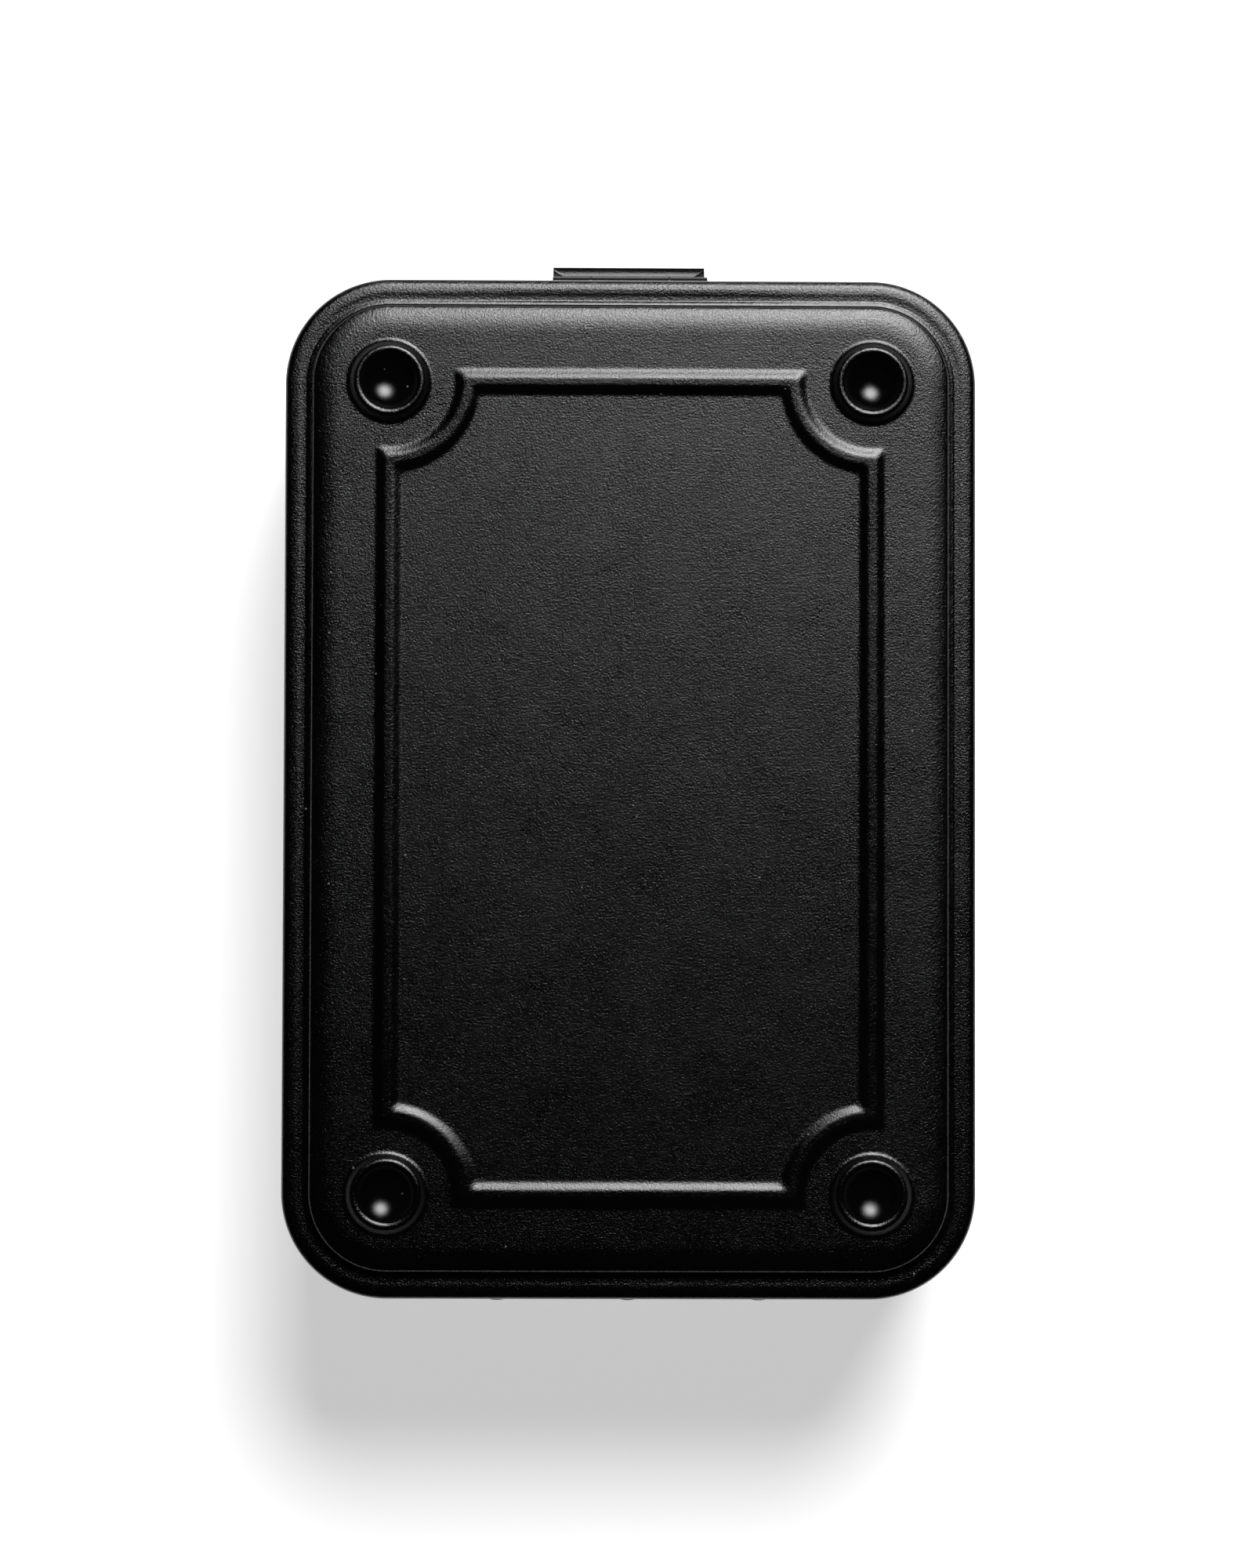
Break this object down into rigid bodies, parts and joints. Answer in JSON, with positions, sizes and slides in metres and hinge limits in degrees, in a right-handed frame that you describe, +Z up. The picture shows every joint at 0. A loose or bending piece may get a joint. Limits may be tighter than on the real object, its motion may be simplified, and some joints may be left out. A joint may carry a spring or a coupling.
{
  "type": "metal lunch box",
  "caption": "Stackable black pressed-steel lunch box with hinged lid, bead frame and four round dishes on the lid, pressed feet and a snap latch.",
  "frame": {"origin": "on the surface the box stands on, under the centre of the four feet and of the rectangular body (latch and hinge left out)", "axes": "+X across the width, +Y along the length from the latch end to the hinge end, +Z up"},
  "size_m": [0.105, 0.1623, 0.053],
  "materials": {
    "black_paint": "satin",
    "black_hardware": "satin",
    "wire_steel": "satin"
  },
  "bodies": {
    "box": {"tray": "black_paint", "tray_hinge_leaf": "black_hardware", "tray_hinge_rivets": "black_hardware", "hinge_pin": "wire_steel", "tray_catch": "black_hardware", "tray_catch_rivets": "black_hardware"},
    "lid": {"lid": "black_paint", "lid_hinge_leaf": "black_hardware", "lid_hinge_rivets": "black_hardware", "latch_bracket": "black_hardware", "latch_bracket_rivets": "black_hardware", "latch_pin": "wire_steel"},
    "latch": {"latch_plate": "black_hardware"}
  },
  "joints": [
    {"name": "lid_hinge", "type": "hinge", "parent": "box", "child": "lid", "pos_m": [0, 0.07753, 0.0337], "axis": [-1, 0, 0], "range_deg": [0, 155]},
    {"name": "latch_hinge", "type": "hinge", "parent": "lid", "child": "latch", "pos_m": [0, -0.07873, 0.036], "axis": [-1, 0, 0], "range_deg": [0, 150]}
  ]
}
